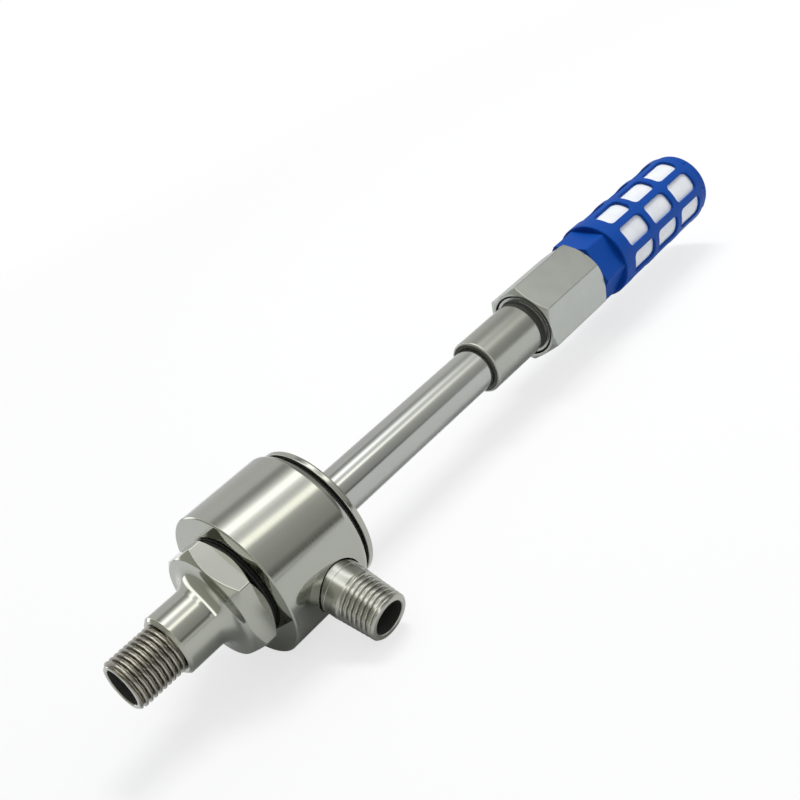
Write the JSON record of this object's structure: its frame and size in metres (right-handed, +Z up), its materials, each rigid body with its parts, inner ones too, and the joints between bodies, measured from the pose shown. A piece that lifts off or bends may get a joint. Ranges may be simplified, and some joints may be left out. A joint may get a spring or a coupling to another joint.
{
  "type": "vortex tube",
  "caption": "Pneumatic vortex tube: round body with a side inlet nipple, threaded cold outlet, long hot tube, hexagonal hot end valve and windowed silencer.",
  "frame": {"origin": "centre of the cold outlet's mouth, on the axis of the tube", "axes": "+X along the tube from the cold outlet to the silencer; +Z up as the part lies on its body and on the tip of the inlet nipple; the nipple is on the -Y side, below the horizontal"},
  "size_m": [0.2385, 0.0542, 0.04],
  "materials": {
    "stainless_steel": "fine turned and polished stainless steel",
    "polished_tube": "drawn and polished stainless tube",
    "nickel_plate": "satin nickel plate on drawn hexagon bar",
    "brass": "turned",
    "seal_rubber": "matt black",
    "blue_nylon": "moulded, satin",
    "white_felt": "pressed fibre"
  },
  "bodies": {
    "root": {"cold_end_cap": "stainless_steel", "cap_seal": "seal_rubber", "vortex_body": "stainless_steel", "inlet_nipple": "stainless_steel", "inlet_seal": "seal_rubber", "orifice_seal": "seal_rubber", "cold_orifice_plate": "brass", "swirl_generator": "brass", "tube_seal": "seal_rubber", "tube_gland": "stainless_steel", "gland_seal": "seal_rubber", "hot_tube": "polished_tube", "flow_straightener": "brass", "hot_end_sleeve": "stainless_steel"},
    "valve_seal": {"valve_seal_ring": "seal_rubber"},
    "valve": {"hex_valve_body": "nickel_plate", "valve_spider": "brass", "valve_cone": "brass", "cone_lock_nut": "brass", "muffler_cage": "blue_nylon", "muffler_felt": "white_felt", "muffler_end_cap": "blue_nylon"}
  },
  "joints": [
    {"name": "valve_travel", "type": "slide", "parent": "root", "child": "valve_seal", "axis": [1, 0, 0], "range_m": [-0.001, 0.002]},
    {"name": "valve_turn", "type": "hinge", "parent": "valve_seal", "child": "valve", "pos_m": [0.17, 0, 0], "axis": [1, 0, 0], "range_deg": [-360, 720]}
  ],
  "couplings": [
    {"joint": "valve_travel", "follows": "valve_turn", "m_per_rad": 0.00015915}
  ]
}
